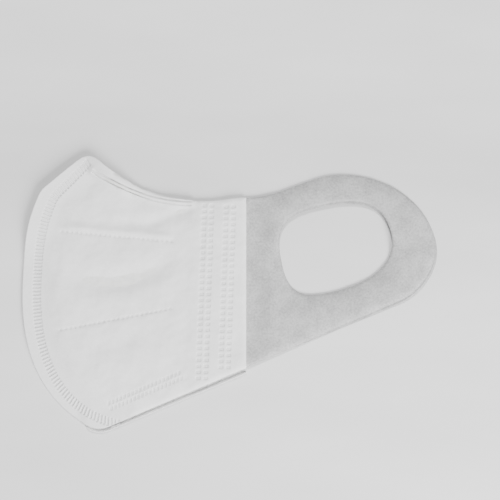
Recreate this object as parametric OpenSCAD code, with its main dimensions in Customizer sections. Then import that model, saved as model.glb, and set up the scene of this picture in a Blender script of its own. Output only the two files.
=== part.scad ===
// Fold-flat disposable dust mask, lying folded with its right half underneath.
// Each half is three nonwoven layers welded together, with a coated nose wire and a stretch ear loop.
// The two halves meet along a curved weld at the front, and open like a book about that seam.

/* [Panel] */
// Front of the seam to the side edge
panel_length = 107.5; // [98:0.5:120]
// Length of the straight side edge
side_height = 81.5; // [72:0.5:92]
// Nose corner behind the front of the seam
nose_setback = 31; // [26:0.5:36]
// Nose corner above the top of the side edge
nose_rise = 22.5; // [18:0.5:28]
// Rounding of the nose corner along each leg
nose_round = 7; // [4:0.5:9]
// Brow corner behind the front of the seam
brow_setback = 8.5; // [6:0.5:11]
// Brow corner above the top of the side edge
brow_rise = 3.5; // [1:0.5:6]
// Rounding of the brow corner along each leg
brow_round = 2.5; // [1:0.5:5]
// Front of the seam above the bottom of the side edge
front_height = 36; // [30:0.5:42]
// Chin corner behind the front of the seam
chin_setback = 37.5; // [32:0.5:43]
// Chin corner below the bottom of the side edge
chin_drop = 30; // [24:0.5:36]
// Rounding of the chin corner along each leg
chin_round = 6; // [3:0.5:8]
// Pull of the hollow in the upper edge below the top of the side edge
upper_hollow = 10; // [6:0.5:13]

/* [Layers] */
// Outer spunbond cover
cover_thickness = 0.35; // [0.2:0.05:0.6]
// Filter web
filter_thickness = 0.6; // [0.4:0.05:1]
// Inner lining
lining_thickness = 0.35; // [0.2:0.05:0.6]
// Stretch sheet of the ear loops
ear_thickness = 0.6; // [0.4:0.05:1]
// Space between the two ear sheets when the mask is folded
fold_gap = 0.3; // [0.2:0.05:0.8]

/* [Ear loop] */
// Side edge to the tip of the loop
loop_reach = 91.5; // [85:0.5:105]
// Side edge to the crest of the loop
crest_run = 47; // [42:0.5:54]
// Crest above the top of the side edge
crest_rise = 11.5; // [8:0.5:16]
// Tip of the loop above the bottom of the side edge
tip_height = 57.5; // [52:0.5:63]
// Tip of the loop back to the heel, where its lower edge becomes straight
heel_back = 18; // [14:0.5:22]
// Side edge to the middle of the ear hole
hole_run = 43.4; // [41:0.1:46]
// Middle of the ear hole above the bottom of the side edge
hole_rise = 57.6; // [55:0.1:60]
// Length of the ear hole
hole_length = 54.4; // [48:0.1:58]
// Height of the ear hole
hole_height = 42.2; // [38:0.1:45]
// Slope of the ear hole's length
hole_tilt = 9.8; // [5:0.1:15]
// Highest point of the untilted hole behind its middle
hole_top_run = 2; // [-2:0.1:6]
// Lowest point of the untilted hole before its middle
hole_bottom_run = 9.6; // [5:0.1:14]
// Ear sheet under the panel beyond the inner ear weld
tab_margin = 2; // [1:0.25:4]
// Trim of the ear sheet inside the panel's upper and lower edges
tab_trim = 0.75; // [0.5:0.25:3]
// Gap at the fold between the panel and the free loop
hinge_gap = 0.4; // [0.3:0.05:0.8]
// How far the tip of the lower loop lies below the upper one
lower_loop_drop = 1.8; // [0:0.1:3]
// How far the tip of the lower loop lies beyond the upper one
lower_loop_reach = 0.9; // [0:0.1:2]

/* [Welds] */
// Weld floor below the outer face
weld_recess = 0.15; // [0.05:0.05:0.2]
// Fused margin around the weld marks in the inner layers
weld_margin = 0.3; // [0.2:0.05:0.6]
// Length of a seam bar, across the seam
seam_bar_length = 3.8; // [2.5:0.1:4.5]
// Width of a seam bar, along the seam
seam_bar_width = 0.8; // [0.5:0.05:1]
// Spacing of the seam bars
seam_pitch = 1.7; // [1.5:0.05:2.5]
// Seam weld behind the front of the seam
seam_front_inset = 7; // [6:0.1:9]
// Seam weld start behind the nose corner
seam_nose_back = 0.4; // [0:0.1:1]
// Seam weld start below the nose corner
seam_nose_drop = 5.3; // [5:0.1:9]
// Bend of the seam weld behind the brow corner
seam_brow_back = 6; // [5:0.25:7]
// Bend of the seam weld below the brow corner
seam_brow_drop = 3.4; // [2:0.2:5]
// Rounding of the seam weld at its bend along each leg
seam_brow_round = 3; // [2:0.5:5]
// Seam weld end behind the chin corner, where it runs out over the lower edge
seam_chin_back = 10; // [8:0.25:11]
// Seam weld end above the chin corner
seam_chin_rise = 3.4; // [2.5:0.1:4]
// Turn of the seam bars for each degree that the seam turns
seam_bar_turn = 1.2; // [1:0.05:1.3]
// Length of an ear weld spot
spot_length = 1.7; // [1.2:0.1:2.2]
// Height of an ear weld spot
spot_height = 1.1; // [0.7:0.1:1.5]
// Spacing of the ear weld rows
spot_pitch = 2.85; // [2.2:0.05:3.5]
// Spacing of the two spots in a row
spot_pair = 3.5; // [3:0.1:4]
// Centre of the outer ear weld inside the side edge
outer_column_inset = 9; // [7:0.25:11]
// Centre of the inner ear weld inside the side edge
inner_column_inset = 19.5; // [18:0.25:21]
// Lean of the ear welds toward the seam, going down
column_lean = 1.8; // [0:0.1:2.5]
// Ear welds inside the upper and lower edges of the panel
column_margin = 0.8; // [0.5:0.1:4]
// Width of a rib mark
rib_dot = 0.8; // [0.5:0.1:1]
// Spacing of the rib marks
rib_pitch = 2.3; // [1.6:0.1:3]
// Front end of the ribs behind the front of the seam
rib_setback = 18; // [16:0.5:24]
// Back end of the ribs before the inner ear weld
rib_back_gap = 11.5; // [4:0.5:18]
// Front end of the upper rib below the top of the side edge
upper_rib_front = 16.5; // [14:0.5:20]
// Back end of the upper rib below the top of the side edge
upper_rib_back = 21.5; // [18:0.5:26]
// Front end of the lower rib above the bottom of the side edge
lower_rib_front = 17.5; // [14:0.5:22]
// Back end of the lower rib above the bottom of the side edge
lower_rib_back = 28; // [24:0.5:32]
// Length of a chin weld dash
dash_length = 1.6; // [1:0.1:2]
// Width of a chin weld dash
dash_width = 0.8; // [0.5:0.1:1]
// Spacing of the chin weld dashes
dash_pitch = 2; // [1.6:0.1:3]
// Slant of the chin weld dashes
dash_slant = 30; // [0:5:45]
// Spacing of the two chin weld rows
chin_rows = 2.7; // [2.2:0.1:3.5]
// Chin weld inside the lower edge
chin_inset = 8.8; // [7:0.1:11]
// Chin weld start from the chin corner along the lower edge
chin_start = 9; // [8:0.5:14]
// Chin weld end before the inner ear weld
chin_back_gap = 5.5; // [3:0.5:12]

/* [Nose wire] */
// Width of the coated nose wire
wire_width = 1.1; // [1:0.1:1.5]
// Width of the steel core
core_width = 0.4; // [0.3:0.05:0.8]
// Height of the steel core
core_height = 0.3; // [0.2:0.05:0.35]
// Nose wire start past the rounding of the nose corner
wire_start = 1; // [0:0.25:4]
// Nose wire end before the inner ear weld
wire_back_gap = 2.5; // [1:0.25:8]
// Nose wire inside the upper edge at the nose
wire_nose_inset = 5.6; // [4.5:0.1:6]
// Nose wire inside the upper edge at its outer end
wire_side_inset = 1.4; // [1.3:0.1:3]
// Width of the weld line on each side of the nose wire
channel_line = 0.3; // [0.2:0.05:0.4]
// Clearance between the nose wire and its weld lines
wire_clearance = 0.1; // [0.05:0.05:0.2]

/* [Hidden] */
// Names of the sub-parts
// Sub-part to draw

// Steps in a long curve, and in a rounded corner
curve_steps = 18;
corner_steps = 5;

// Handle lengths of the outline curves, as shares of the stretch that each one spans
brow_pull = 0.32;
front_pull_up = 0.43;
front_pull_down = 0.38;
chin_pull = 0.25;
brow_lean = 0.22;
chin_lean = 0.2;
upper_side_pull = 0.14;
upper_nose_pull = 0.49;
loop_pull = 0.36;
crest_pull = 0.56;
tip_pull_up = 0.5;
tip_pull_down = 0.42;
heel_pull = 0.56;
hole_pulls = [0.79, 0.69, 0.61, 0.77];
seam_front_pull = 0.45;
seam_chin_pull = 0.5;
// Slope of the seam weld at the chin
seam_chin_slope = 10;

cover_color = [0.93, 0.93, 0.92];
filter_color = [0.97, 0.97, 0.95];
lining_color = [0.95, 0.95, 0.96];
ear_color = [0.8, 0.8, 0.8];
weld_color = [0.74, 0.75, 0.76];
sheath_color = [0.9, 0.9, 0.88];
core_color = [0.6, 0.62, 0.64];

function toward(p, q, d) = p + d * (q - p) / norm(q - p);
function cubic(a, b, c, d) = [
    for (i = [0:curve_steps])
        let (t = i / curve_steps, s = 1 - t)
            s * s * s * a + 3 * s * s * t * b + 3 * s * t * t * c + t * t * t * d
];
function bend(a, b, c) = [
    for (i = [0:corner_steps])
        let (t = i / corner_steps, s = 1 - t)
            s * s * a + 2 * s * t * b + t * t * c
];
function tail(path) = [for (i = [1:len(path) - 1]) path[i]];
function flip(path) = [for (i = [len(path) - 1:-1:0]) path[i]];
function xs(path) = [for (p = path) p.x];
function ys(path) = [for (p = path) p.y];

// Length of a path, and the point and heading at a distance along it
function step(path, i) = norm(path[i + 1] - path[i]);
function path_length(path, i = 0) = i < len(path) - 1 ? step(path, i) + path_length(path, i + 1) : 0;
function segment(path, d, i = 0) =
    i < len(path) - 2 && d > step(path, i) ? segment(path, d - step(path, i), i + 1) : [i, d];
function point_at(path, d) = let (s = segment(path, d)) toward(path[s[0]], path[s[0] + 1], s[1]);
function heading_at(path, d) =
    let (s = segment(path, d), v = path[s[0] + 1] - path[s[0]]) atan2(v.y, v.x);
function side_of(a) = [-sin(a), cos(a)];

// Distance along a path to a given x
function run_to(path, x, i = 0) = let (a = path[i], b = path[i + 1])
    b.x < x ? step(path, i) + run_to(path, x, i + 1) : step(path, i) * (x - a.x) / (b.x - a.x);
// A path moved to its left by an amount that changes along it, more slowly toward its end
function settling(t) = t * (3 - t) / 2;
function shifted(path, near, far, steps, start, end) = [
    for (i = [0:steps])
        let (t = i / steps, d = start + (end - start) * t)
            point_at(path, d) + side_of(heading_at(path, d)) * (near + (far - near) * settling(t))
];
// A ribbon between two offsets of a path, and a band of even width along it
function offset_side(path, w) = [
    for (i = [0:len(path) - 1])
        let (v = path[min(i + 1, len(path) - 1)] - path[max(i - 1, 0)])
            path[i] + side_of(atan2(v.y, v.x)) * w
];
function ribbon(path, a, b) = concat(offset_side(path, a), flip(offset_side(path, b)));
function band(path, w) = ribbon(path, w / 2, -w / 2);

// Corners of the half panel, from the front of the seam and the bottom of the side edge
nose = [nose_setback, side_height + nose_rise];
brow = [brow_setback, side_height + brow_rise];
front = [0, front_height];
chin = [chin_setback, -chin_drop];
side_top = [panel_length, side_height];
side_bottom = [panel_length, 0];
brow_fall = brow.y - front.y;
chin_fall = front.y - chin.y;
brow_handle = [brow_lean * brow.x, brow.y - brow_pull * brow_fall];
chin_handle = [chin_lean * chin.x, chin.y + chin_pull * chin_fall];
upper_span = panel_length - nose.x;
upper_handle = [nose.x + upper_nose_pull * upper_span, side_height - upper_hollow];

// Front curve of the half panel from the brow to the chin
front_curve = concat(
    cubic(
        toward(brow, brow_handle, brow_round),
        brow_handle,
        front + [0, front_pull_up * brow_fall],
        front
    ),
    tail(cubic(
        front,
        front - [0, front_pull_down * chin_fall],
        chin_handle,
        toward(chin, chin_handle, chin_round)
    ))
);
brow_corner = bend(toward(brow, nose, brow_round), brow, toward(brow, brow_handle, brow_round));
nose_corner = bend(toward(nose, upper_handle, nose_round), nose, toward(nose, brow, nose_round));
chin_corner = bend(toward(chin, chin_handle, chin_round), chin, toward(chin, side_bottom, chin_round));
upper_edge = cubic(
    toward(nose, upper_handle, nose_round),
    upper_handle,
    side_top - [upper_side_pull * upper_span, 0],
    side_top
);
panel_outline = concat(
    [side_bottom],
    flip(upper_edge),
    tail(nose_corner),
    brow_corner,
    tail(front_curve),
    tail(chin_corner)
);

// Lower edge
function lower_edge(x) = -chin_drop * (panel_length - x) / (panel_length - chin_setback);
lower_angle = atan2(chin_drop, panel_length - chin_setback);
lower_way = [cos(lower_angle), sin(lower_angle)];

// Ear welds, and the ear sheet that they hold
column_width = spot_pair + spot_length + 2 * weld_margin;
function column_x(inset, y) = panel_length - inset - (side_height / 2 - y) * tan(column_lean);
function column_foot(inset) = lower_edge(panel_length - inset + column_width / 2) + column_margin;
tab_front = column_x(inner_column_inset, column_foot(inner_column_inset)) - column_width / 2 - tab_margin;
upper_low = min([for (p = upper_edge) if (p.x > tab_front) p.y]);
column_head = upper_low - column_margin;
inner_weld_front = tab_front + tab_margin;

// Ear loop
loop_tip = [panel_length + loop_reach, tip_height];
crest = [panel_length + crest_run, side_height + crest_rise];
heel_x = loop_tip.x - heel_back;
heel = [heel_x, lower_edge(heel_x)];
loop_start = panel_length + hinge_gap;
loop_edge = concat(
    [[loop_start, lower_edge(loop_start)], [loop_start, side_height]],
    tail(cubic(
        side_top + [hinge_gap, 0],
        side_top + [loop_pull * crest_run, 0],
        crest - [loop_pull * crest_run, 0],
        crest
    )),
    tail(cubic(
        crest,
        crest + [crest_pull * (loop_tip.x - crest.x), 0],
        loop_tip + [0, tip_pull_up * (crest.y - loop_tip.y)],
        loop_tip
    )),
    tail(cubic(
        loop_tip,
        loop_tip - [0, tip_pull_down * (loop_tip.y - heel.y)],
        heel + lower_way * heel_pull * heel_back,
        heel
    ))
);
hole_middle = [panel_length + hole_run, hole_rise];
hole_left = [-hole_length / 2, 0];
hole_top = [hole_top_run, hole_height / 2];
hole_right = [hole_length / 2, 0];
hole_bottom = [-hole_bottom_run, -hole_height / 2];
function rising(p, q, k) = cubic(p, [p.x, p.y + k * (q.y - p.y)], [q.x + k * (p.x - q.x), q.y], q);
function level(p, q, k) = cubic(p, [p.x + k * (q.x - p.x), p.y], [q.x, q.y + k * (p.y - q.y)], q);
function tilted(p, angle) = [p.x * cos(angle) - p.y * sin(angle), p.x * sin(angle) + p.y * cos(angle)];
level_hole = concat(
    tail(rising(hole_left, hole_top, hole_pulls[0])),
    tail(level(hole_top, hole_right, hole_pulls[1])),
    tail(rising(hole_right, hole_bottom, hole_pulls[2])),
    tail(level(hole_bottom, hole_left, hole_pulls[3]))
);
hole_edge = [for (p = level_hole) hole_middle + tilted(p, hole_tilt)];
// The lower loop lies a little lower and further out
function laid(path, drop, reach) = [
    for (p = path)
        let (f = (p.x - panel_length) / loop_reach) p + f * [reach, -drop]
];

// Seam weld
seam_top = nose + [seam_nose_back, -seam_nose_drop];
seam_brow = brow + [seam_brow_back, -seam_brow_drop];
seam_front = front + [seam_front_inset, 0];
seam_end = chin + [seam_chin_back, seam_chin_rise];
seam_rise = seam_brow.y - seam_front.y;
seam_fall = seam_front.y - seam_end.y;
seam_handle = [
    seam_front.x + brow_lean * (seam_brow.x - seam_front.x),
    seam_brow.y - brow_pull * seam_rise
];
seam_bend = toward(seam_brow, seam_handle, seam_brow_round);
seam_path = concat(
    [seam_top],
    bend(toward(seam_brow, seam_top, seam_brow_round), seam_brow, seam_bend),
    tail(cubic(
        seam_bend,
        seam_handle,
        seam_front + [0, front_pull_up * seam_rise],
        seam_front
    )),
    tail(cubic(
        seam_front,
        seam_front - [0, seam_front_pull * seam_fall],
        seam_end + seam_chin_pull * seam_fall * [-cos(seam_chin_slope), sin(seam_chin_slope)],
        seam_end
    ))
);
seam_run = path_length(seam_path);
seam_count = floor((seam_run - seam_bar_width) / seam_pitch);
seam_first = (seam_run - seam_count * seam_pitch) / 2;
seam_width = seam_bar_length + 2 * weld_margin;

// Chin weld
chin_first = chin + lower_way * chin_start + side_of(lower_angle) * chin_inset;
chin_run = (inner_weld_front - chin_back_gap - chin_first.x) / cos(lower_angle);
chin_count = floor((chin_run - dash_length) / dash_pitch);
chin_width = chin_rows + dash_length + 2 * weld_margin;

// Ribs
upper_rib = [
    [rib_setback, side_height - upper_rib_front],
    [inner_weld_front - rib_back_gap, side_height - upper_rib_back]
];
lower_rib = [
    [rib_setback, lower_rib_front],
    [inner_weld_front - rib_back_gap, lower_rib_back]
];
rib_width = rib_dot + 2 * weld_margin;

// Nose wire
wire_path = shifted(
    upper_edge,
    -wire_nose_inset,
    -wire_side_inset,
    curve_steps,
    wire_start,
    run_to(upper_edge, inner_weld_front - wire_back_gap)
);
channel_inside = wire_width + 2 * wire_clearance;
channel_outside = channel_inside + 2 * channel_line;

// Heights from the inner face of a half, and of the folded mask
inner_stack = lining_thickness + filter_thickness;
half_thickness = inner_stack + cover_thickness;
inner_face = ear_thickness + fold_gap / 2;
mid_height = inner_face + half_thickness;

// Middle of the whole mask, which becomes the origin
upper_loop = laid(loop_edge, 0, 0);
lower_loop = laid(loop_edge, lower_loop_drop, lower_loop_reach);
all_points = concat(panel_outline, upper_loop, lower_loop);
middle = [
    (min(xs(all_points)) + max(xs(all_points))) / 2,
    (min(ys(all_points)) + max(ys(all_points))) / 2
];

// Weld marks that show in the cover
module seam_bars() {
    for (i = [0:seam_count]) {
        d = seam_first + i * seam_pitch;
        lean = 90 + heading_at(seam_path, d);
        translate(point_at(seam_path, d))
            rotate(seam_bar_turn * lean)
                square([seam_bar_length, seam_bar_width], center = true);
    }
}

module ear_spots(inset) {
    foot = column_foot(inset);
    count = floor((column_head - foot - spot_height) / spot_pitch);
    first = (column_head + foot - count * spot_pitch) / 2;
    for (i = [0:count], side = [-0.5, 0.5])
        translate([column_x(inset, first + i * spot_pitch) + side * spot_pair, first + i * spot_pitch])
            square([spot_length, spot_height], center = true);
}

module chin_dashes() {
    for (i = [0:chin_count], side = [-0.5, 0.5])
        translate(chin_first + lower_way * (dash_length / 2 + i * dash_pitch))
            translate(side_of(lower_angle) * side * chin_rows)
                rotate(lower_angle - dash_slant)
                    square([dash_width, dash_length], center = true);
}

module rib_dots(rib) {
    run = path_length(rib);
    count = floor((run - rib_dot) / rib_pitch);
    first = (run - count * rib_pitch) / 2;
    for (i = [0:count])
        translate(point_at(rib, first + i * rib_pitch))
            rotate(heading_at(rib, 0))
                square(rib_dot, center = true);
}

module nose_lines() {
    for (side = [-0.5, 0.5])
        polygon(ribbon(wire_path, side * channel_inside, side * channel_outside));
}

// Fused strips in the inner layers
module seam_strip() {
    polygon(band(seam_path, seam_width));
}

module ear_strip(inset) {
    foot = column_foot(inset);
    polygon(band([[column_x(inset, foot), foot], [column_x(inset, column_head), column_head]], column_width));
}

module chin_strip() {
    polygon(band([chin_first, chin_first + lower_way * chin_run], chin_width));
}

module rib_strip(rib) {
    polygon(band(rib, rib_width));
}

// Flat sheet of one layer, and what lies within it
module panel_sheet() {
    polygon(panel_outline);
}

module within_panel() {
    intersection() {
        panel_sheet();
        children();
    }
}

// Weld marks and strips that are cut out of the layers
module all_marks() {
    seam_bars();
    ear_spots(outer_column_inset);
    ear_spots(inner_column_inset);
    chin_dashes();
    rib_dots(upper_rib);
    rib_dots(lower_rib);
    nose_lines();
}

module all_strips() {
    seam_strip();
    ear_strip(outer_column_inset);
    ear_strip(inner_column_inset);
    chin_strip();
    rib_strip(upper_rib);
    rib_strip(lower_rib);
}

module weld() {
    linear_extrude(height = inner_stack)
        children(0);
    translate([0, 0, inner_stack])
        linear_extrude(height = cover_thickness - weld_recess)
            children(1);
}

// Pieces of one half, built up from its inner face
module outer_cover() {
    color(cover_color)
        translate([0, 0, inner_stack])
            linear_extrude(height = cover_thickness)
                difference() {
                    panel_sheet();
                    all_marks();
                }
}

module filter_web() {
    color(filter_color)
        translate([0, 0, lining_thickness])
            linear_extrude(height = filter_thickness)
                difference() {
                    panel_sheet();
                    all_strips();
                    polygon(band(wire_path, channel_outside));
                }
}

module lining() {
    color(lining_color)
        linear_extrude(height = lining_thickness)
            difference() {
                panel_sheet();
                all_strips();
                nose_lines();
            }
}

module seam_weld() {
    color(weld_color)
        weld() {
            within_panel() seam_strip();
            within_panel() seam_bars();
        }
}

module ear_weld() {
    color(weld_color)
        for (inset = [outer_column_inset, inner_column_inset])
            weld() {
                ear_strip(inset);
                ear_spots(inset);
            }
}

module chin_weld() {
    color(weld_color)
        weld() {
            chin_strip();
            chin_dashes();
        }
}

module rib_weld() {
    color(weld_color)
        for (rib = [upper_rib, lower_rib])
            weld() {
                rib_strip(rib);
                rib_dots(rib);
            }
}

module nose_weld() {
    color(weld_color)
        linear_extrude(height = half_thickness - weld_recess)
            nose_lines();
}

module nose_sheath() {
    color(sheath_color)
        translate([0, 0, lining_thickness])
            difference() {
                linear_extrude(height = filter_thickness)
                    polygon(band(wire_path, wire_width));
                translate([0, 0, (filter_thickness - core_height) / 2])
                    linear_extrude(height = core_height)
                        polygon(band(wire_path, core_width));
            }
}

module nose_core() {
    color(core_color)
        translate([0, 0, lining_thickness + (filter_thickness - core_height) / 2])
            linear_extrude(height = core_height)
                polygon(band(wire_path, core_width));
}

module ear_tab() {
    color(ear_color)
        translate([0, 0, -ear_thickness])
            linear_extrude(height = ear_thickness)
                polygon([
                    [tab_front, lower_edge(tab_front) + tab_trim],
                    [panel_length, tab_trim],
                    [panel_length, upper_low - tab_trim],
                    [tab_front, upper_low - tab_trim]
                ]);
}

module ear_loop(drop = 0, reach = 0) {
    color(ear_color)
        translate([0, 0, -ear_thickness])
            linear_extrude(height = ear_thickness)
                difference() {
                    polygon(laid(loop_edge, drop, reach));
                    polygon(laid(hole_edge, drop, reach));
                }
}

// Fused ridge between the two halves, along the seam
module seam_core() {
    color(weld_color)
        translate([-middle.x, -middle.y, mid_height - inner_face])
            linear_extrude(height = 2 * inner_face)
                within_panel() seam_strip();
}

// The left half lies on top, the right half upside down beneath it
module left_half() {
    translate([-middle.x, -middle.y, mid_height + inner_face])
        children();
}

module right_half() {
    translate([-middle.x, -middle.y, mid_height - inner_face])
        mirror([0, 0, 1])
            children();
}

right_half() outer_cover();  // right_outer_cover
right_half() filter_web();  // right_filter_web
right_half() lining();  // right_lining
right_half() seam_weld();  // right_seam_weld
right_half() ear_weld();  // right_ear_weld
right_half() chin_weld();  // right_chin_weld
right_half() rib_weld();  // right_rib_weld
right_half() nose_weld();  // right_nose_weld
right_half() nose_sheath();  // right_nose_sheath
right_half() nose_core();  // right_nose_core
right_half() ear_tab();  // right_ear_tab
right_half() ear_loop(lower_loop_drop, lower_loop_reach);  // right_ear_loop
seam_core();
left_half() outer_cover();  // left_outer_cover
left_half() filter_web();  // left_filter_web
left_half() lining();  // left_lining
left_half() seam_weld();  // left_seam_weld
left_half() ear_weld();  // left_ear_weld
left_half() chin_weld();  // left_chin_weld
left_half() rib_weld();  // left_rib_weld
left_half() nose_weld();  // left_nose_weld
left_half() nose_sheath();  // left_nose_sheath
left_half() nose_core();  // left_nose_core
left_half() ear_tab();  // left_ear_tab
left_half() ear_loop();  // left_ear_loop
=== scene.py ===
"""Fold-flat dust mask, lying folded: nonwoven layers, welds, nose wires and stretch ear loops."""

import math

import bpy
import numpy as np
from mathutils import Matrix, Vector
from mathutils.geometry import delaunay_2d_cdt


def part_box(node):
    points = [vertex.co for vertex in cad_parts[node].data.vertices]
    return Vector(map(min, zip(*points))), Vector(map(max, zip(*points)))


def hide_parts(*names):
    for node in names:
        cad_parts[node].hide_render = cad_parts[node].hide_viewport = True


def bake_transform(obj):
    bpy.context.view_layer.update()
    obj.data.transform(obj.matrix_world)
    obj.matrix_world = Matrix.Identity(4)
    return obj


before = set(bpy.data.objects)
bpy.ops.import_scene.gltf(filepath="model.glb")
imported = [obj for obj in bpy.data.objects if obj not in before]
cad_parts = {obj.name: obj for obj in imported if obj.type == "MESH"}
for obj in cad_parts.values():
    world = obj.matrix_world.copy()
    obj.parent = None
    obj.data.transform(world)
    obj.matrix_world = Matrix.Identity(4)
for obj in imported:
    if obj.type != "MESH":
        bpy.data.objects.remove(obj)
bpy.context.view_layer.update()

# Lengths are in millimetres until a mesh is made
MM = 0.001
SIDES = {"left": 1, "right": -1}

# Sheets as they lie
PUFF = 0.75  # height of the cover between its welds
SKIN = 0.25  # thickness of the cover and of the lining
PLY_GAP = 0.02  # air between plies
FLANGE_THIN = 0.5  # how much the welded front is pressed together
RIM_THIN = 0.4  # how much the cut edges all round are pressed together
LIP_THIN = 0.3  # and how much more at the very edge
EAR_SKIN = 0.25  # thickness of the stretch ear sheet
EAR_ARCH = 2.5  # how far the upper ear sheet bows up from its outer edge
EAR_LIFT = 1.1  # how far that edge stands off the lower sheet on the side of the chin

# Depth of each kind of weld mark below the cover around it, and width of the slope into it
DEPTHS = {"seam": 0.3, "ear": 0.16, "chin": 0.12, "rib": 0.08}
SLOPES = {"seam": 0.14, "ear": 0.55, "chin": 0.4, "rib": 0.35}
LINE_DEPTH = 0.42  # the same for the nose wire's weld lines
LINE_SLOPE = 0.28

# How the folded mask lies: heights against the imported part
BROW_LIFT = 1.3  # the front curls up between its middle and the nose
NOSE_LIFT = 4.3  # and so does the upper edge beside the nose
CHIN_LIFT = 0.9  # the upper half's lower edge stands off the lower half
HALVES_GAP = 0.1  # air left between the halves when the upper one has sunk onto the lower one
TABS_GAP = 0.55  # and where the ear sheets lie between
PLY_SHOW = (0.15, 0.25)  # the lower half shows beyond the upper one, and this much more at the side
LIP_SHOW = (1.3, 0.8)  # the lip of its cover shows more again
LIP_LIFT = 1.0  # and turns up

# Spacing of mesh points
COVER_STEP = 1.15
WELD_STEP = 0.55
INNER_STEP = 2.2
EDGE_STEP = 0.8
EDGE_ROW_STEP = 1.3 * EDGE_STEP
MARK_STEP = 0.75
STRIP_STEP = 1.5
WIRE_STEP = 0.8
EDGE_ROWS = (0.35, 0.9, 1.7)  # distances of the extra rows inside the cover's edge
MERGE = 1e-5  # points nearer than this are one point
SLIVER = 0.002  # triangles flatter than this are left out

# Reading of outlines
LEVEL = 0.001  # points this near a node's highest or lowest level lie on its flat face
DIGITS = 3  # corners that agree to so many decimals are one corner
ON_EDGE = 0.01  # corners this near the end of a straight edge's box lie on that edge
MITRE_LEAST = 0.3  # keeps sharp corners of a moved outline from running far out


# Outlines of the pieces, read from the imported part
def box_mm(node):
    low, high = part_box(node)
    return np.array(low) / MM, np.array(high) / MM


def area_of(loop):
    x, y = loop.T
    return 0.5 * float(np.sum(x * np.roll(y, -1) - np.roll(x, -1) * y))


def face_loops(nodes, highest):
    """Counter-clockwise outlines of the highest or lowest face of nodes that meet, the largest first."""
    edges = {}
    for node in nodes:
        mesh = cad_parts[node].data
        mesh.calc_loop_triangles()
        points = np.array([v.co for v in mesh.vertices]) / MM
        level = points[:, 2].max() if highest else points[:, 2].min()
        flat = np.abs(points[:, 2] - level) < LEVEL
        place = [tuple(p) for p in np.round(points[:, :2], DIGITS)]
        for triangle in mesh.loop_triangles:
            a, b, c = triangle.vertices
            if flat[a] and flat[b] and flat[c]:
                for start, end in ((a, b), (b, c), (c, a)):
                    edges[place[start], place[end]] = True
    ways = {a: b for a, b in edges if (b, a) not in edges}
    loops = []
    while ways:
        first, at = ways.popitem()
        loop = [first]
        while at != first:
            loop.append(at)
            at = ways.pop(at)
        loop = np.array(loop)
        loops.append(loop if area_of(loop) > 0 else loop[::-1])
    return sorted(loops, key=lambda p: -area_of(p))


def spaced(loop, step):
    """A closed outline with its corners kept and no edge longer than a step."""
    made = []
    for a, b in zip(loop, np.roll(loop, -1, axis=0)):
        count = max(1, math.ceil(np.linalg.norm(b - a) / step))
        made.extend(a + (b - a) * i / count for i in range(count))
    return np.array(made)


def grown(loop, by):
    """A closed counter-clockwise outline moved outward."""
    way = np.roll(loop, -1, axis=0) - loop
    out = np.stack([way[:, 1], -way[:, 0]], 1) / np.linalg.norm(way, axis=1)[:, None]
    before = np.roll(out, 1, axis=0)
    share = 1 + np.sum(out * before, axis=1)
    return loop + by * (out + before) / np.maximum(share, MITRE_LEAST)[:, None]


def inside(points, loop):
    """True for each point that lies within a closed outline."""
    found = np.zeros(len(points), bool)
    low, high = loop.min(0), loop.max(0)
    near = np.flatnonzero(((points >= low) & (points <= high)).all(1))
    if len(near) == 0:
        return found
    x, y = points[near, 0][:, None], points[near, 1][:, None]
    a, b = loop, np.roll(loop, -1, axis=0)
    spans = (a[:, 1] > y) != (b[:, 1] > y)
    rise = np.where(a[:, 1] == b[:, 1], 1, b[:, 1] - a[:, 1])
    crossing = a[:, 0] + (y - a[:, 1]) * (b[:, 0] - a[:, 0]) / rise
    found[near] = (np.sum(spans & (x < crossing), axis=1) % 2).astype(bool)
    return found


def inside_any(points, loops):
    return np.any([inside(points, loop) for loop in loops], axis=0)


def distance(points, line, closed):
    """Distance from each point to the nearest place on a line of points."""
    ends = np.roll(line, -1, axis=0) if closed else line[1:]
    nearest = np.full(len(points), np.inf)
    for a, b in zip(line, ends):
        way = b - a
        share = np.clip((points - a) @ way / (way @ way), 0, 1)
        nearest = np.minimum(nearest, np.hypot(*(points - a - share[:, None] * way).T))
    return nearest


def smooth(x):
    """From 0 to 1 with a soft start and end."""
    x = np.clip(x, 0, 1)
    return x * x * (3 - 2 * x)


def bell(x):
    """1 at zero, falling away to both sides."""
    return np.exp(-(x**2))


def between(loop, start, end):
    """The stretch of a closed outline from one of its corners on to another."""
    count = (end - start) % len(loop) + 1
    return np.array([loop[(start + i) % len(loop)] for i in range(count)])


cover_high = box_mm("left_outer_cover")[1]
lining_low, lining_high = box_mm("left_lining")
filter_high = box_mm("left_filter_web")[1]
core_low, core_high = box_mm("left_nose_core")
FOLD_Z = (lining_low[2] + box_mm("right_lining")[1][2]) / 2
HALF_GAP = lining_low[2] - FOLD_Z
STACK = cover_high[2] - lining_low[2]
LINING_TOP = lining_high[2] - lining_low[2]
FILTER_TOP = filter_high[2] - lining_low[2]

KINDS = ("seam", "ear", "chin", "rib")
panel = face_loops(["left_lining", "left_seam_weld"], False)[0]
strips = {kind: face_loops([f"left_{kind}_weld"], False) for kind in KINDS}
marks = {kind: face_loops([f"left_{kind}_weld"], True) for kind in KINDS}
nose_lines = face_loops(["left_nose_weld"], True)
sheath = face_loops(["left_nose_sheath"], False)[0]
core = face_loops(["left_nose_core"], False)[0]
tab = face_loops(["left_ear_tab"], False)[0]

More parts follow.
